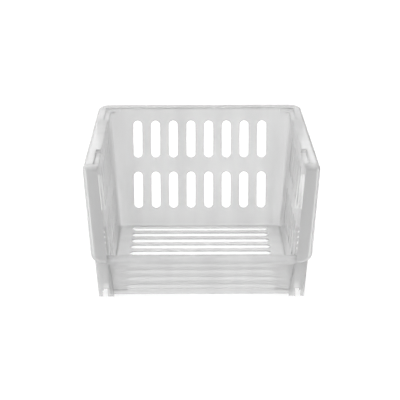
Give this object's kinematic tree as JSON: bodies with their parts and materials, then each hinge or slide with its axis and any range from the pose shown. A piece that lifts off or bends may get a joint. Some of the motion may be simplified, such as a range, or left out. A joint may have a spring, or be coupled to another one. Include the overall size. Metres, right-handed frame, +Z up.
{
  "type": "stacking fridge bin",
  "caption": "Clear open-front stacking bin with slotted walls and floor, a low lipped front, a rolled rim, four notched feet and seats for the bin above.",
  "frame": {"origin": "on the surface it stands on, under the middle of the bin's overall box", "axes": "+Z up, -Y out of the open front, +X to the right seen from the front"},
  "size_m": [0.3, 0.294, 0.184],
  "materials": {
    "clear_plastic": "clear, faintly frosted moulded plastic"
  },
  "bodies": {
    "root": {"floor_grille": "clear_plastic", "back_wall": "clear_plastic", "right_side_wall": "clear_plastic", "left_side_wall": "clear_plastic", "front_wall": "clear_plastic", "right_rear_corner": "clear_plastic", "left_rear_corner": "clear_plastic", "right_front_corner": "clear_plastic", "left_front_corner": "clear_plastic", "front_lip": "clear_plastic", "back_rim": "clear_plastic", "right_rim_corner": "clear_plastic", "left_rim_corner": "clear_plastic", "right_rail": "clear_plastic", "left_rail": "clear_plastic", "right_shoulder": "clear_plastic", "left_shoulder": "clear_plastic", "right_pillar": "clear_plastic", "left_pillar": "clear_plastic", "right_frame_corner": "clear_plastic", "left_frame_corner": "clear_plastic", "right_front_leg": "clear_plastic", "left_front_leg": "clear_plastic", "right_rear_leg": "clear_plastic", "left_rear_leg": "clear_plastic", "right_front_seat": "clear_plastic", "left_front_seat": "clear_plastic", "right_rear_seat": "clear_plastic", "left_rear_seat": "clear_plastic"}
  },
  "joints": []
}
